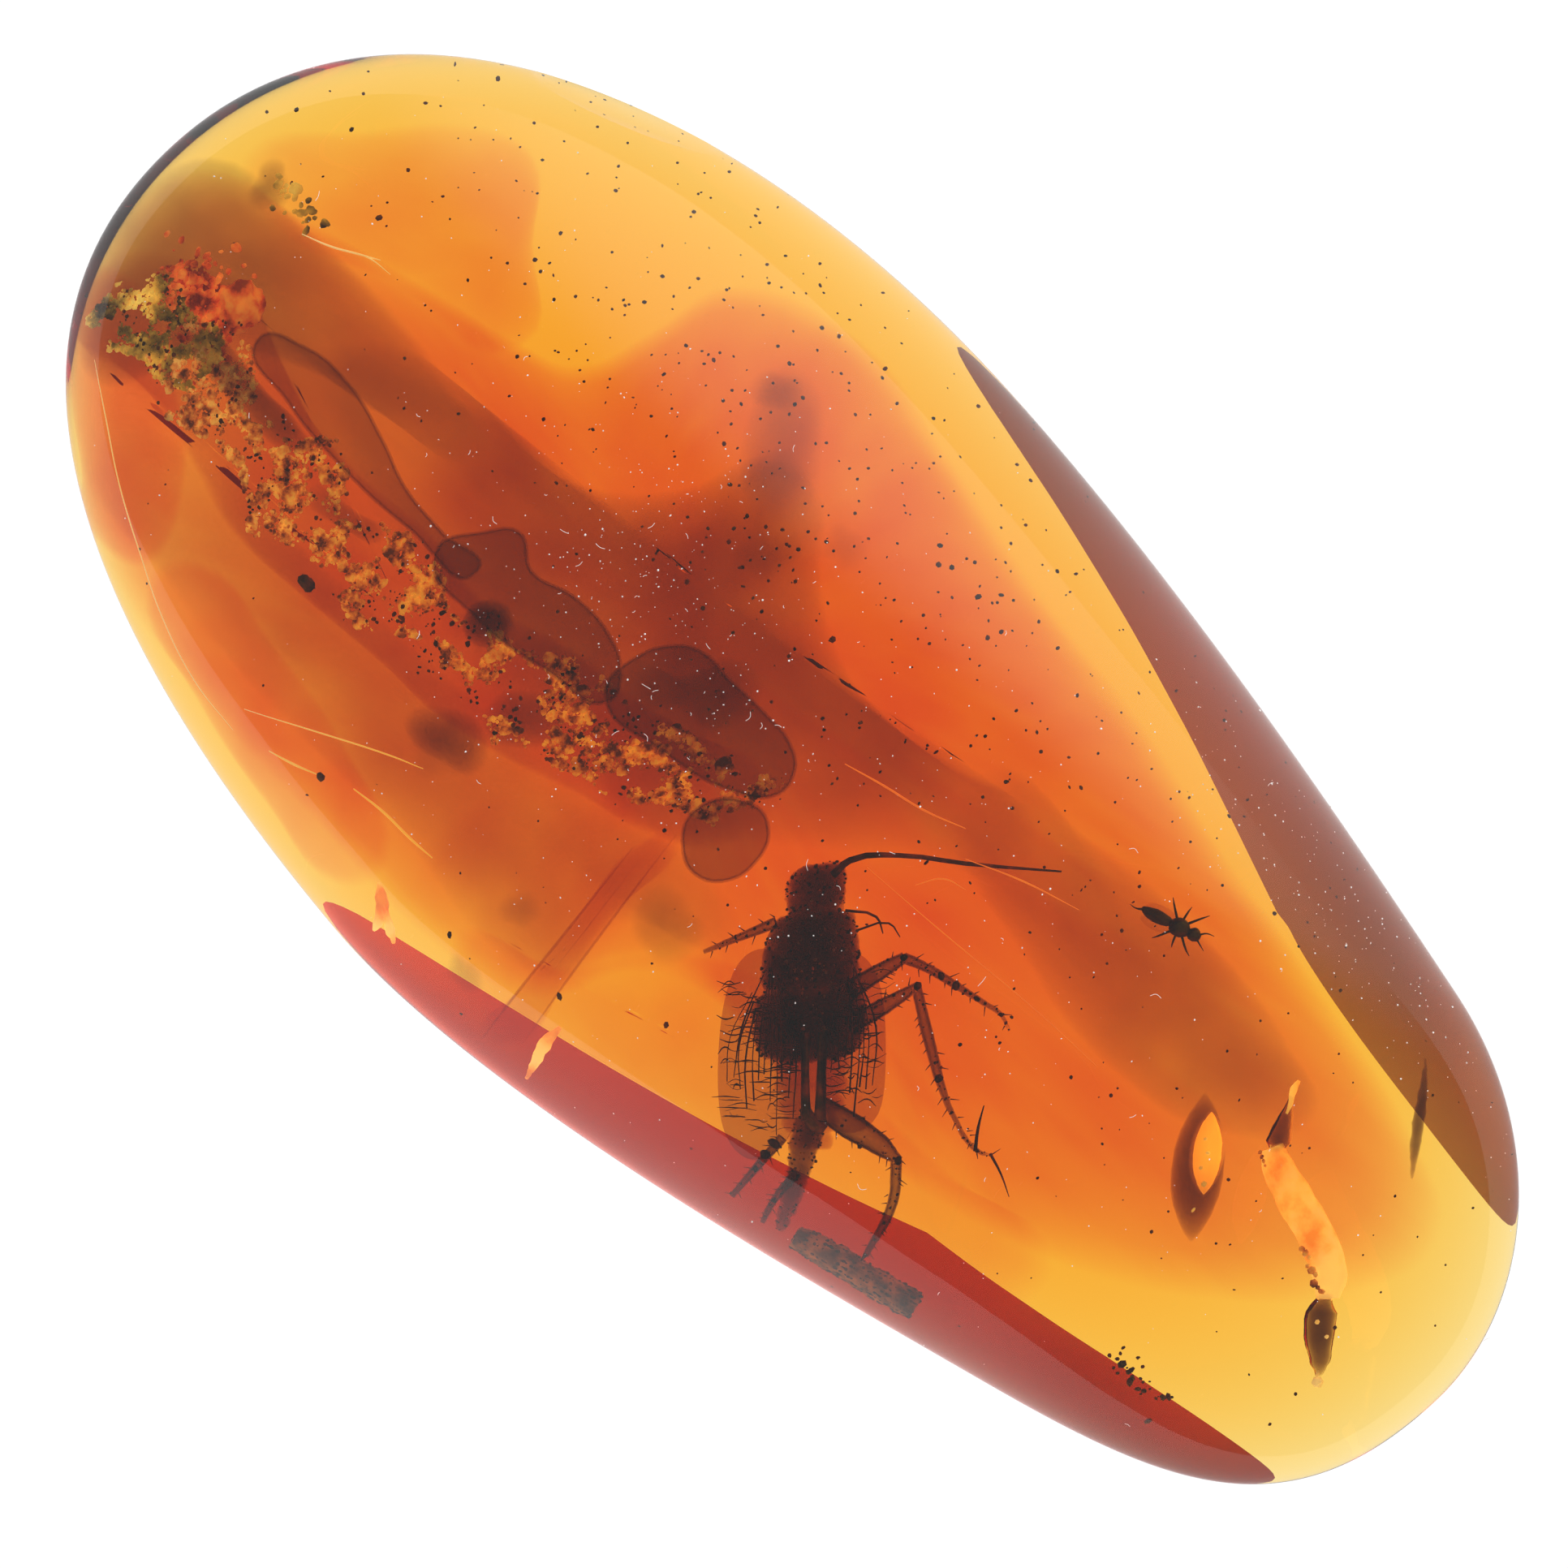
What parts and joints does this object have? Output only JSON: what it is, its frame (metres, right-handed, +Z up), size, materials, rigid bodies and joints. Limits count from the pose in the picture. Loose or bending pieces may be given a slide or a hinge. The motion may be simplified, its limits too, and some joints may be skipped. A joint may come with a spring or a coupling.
{
  "type": "insect in amber",
  "caption": "Polished oblong piece of clear orange amber with a dark winged insect, a tiny fly and plant debris sealed inside, resting on its flat underside.",
  "frame": {"origin": "centre of the bounding box at the flat foot of the amber", "axes": "+X along the amber's long axis towards its narrower end, +Z up out of the domed top"},
  "size_m": [0.04, 0.0194, 0.0094],
  "materials": {
    "amber": "polished clear amber, yellow at thin edges and orange to red where thick",
    "insect_dark": "dark brown chitin, nearly black where thick",
    "fly_dark": "dark brown chitin",
    "bark_gold": "crumbled bark, golden and olive brown",
    "film_red_brown": "thin red-brown stained resin film with a dark edge",
    "twig_brown": "mottled dark brown bark",
    "husk_brown": "thin glossy brown plant husk",
    "case_cream": "papery cream sheath with dark glassy ends",
    "sliver_dark": "dark splinter"
  },
  "bodies": {
    "root": {"amber_upper": "amber", "amber_lower": "amber", "insect": "insect_dark", "small_fly": "fly_dark", "bark_crumbs": "bark_gold", "stained_film": "film_red_brown", "twig": "twig_brown", "seed_husk": "husk_brown", "case_tube": "case_cream", "bark_sliver": "sliver_dark"}
  },
  "joints": []
}
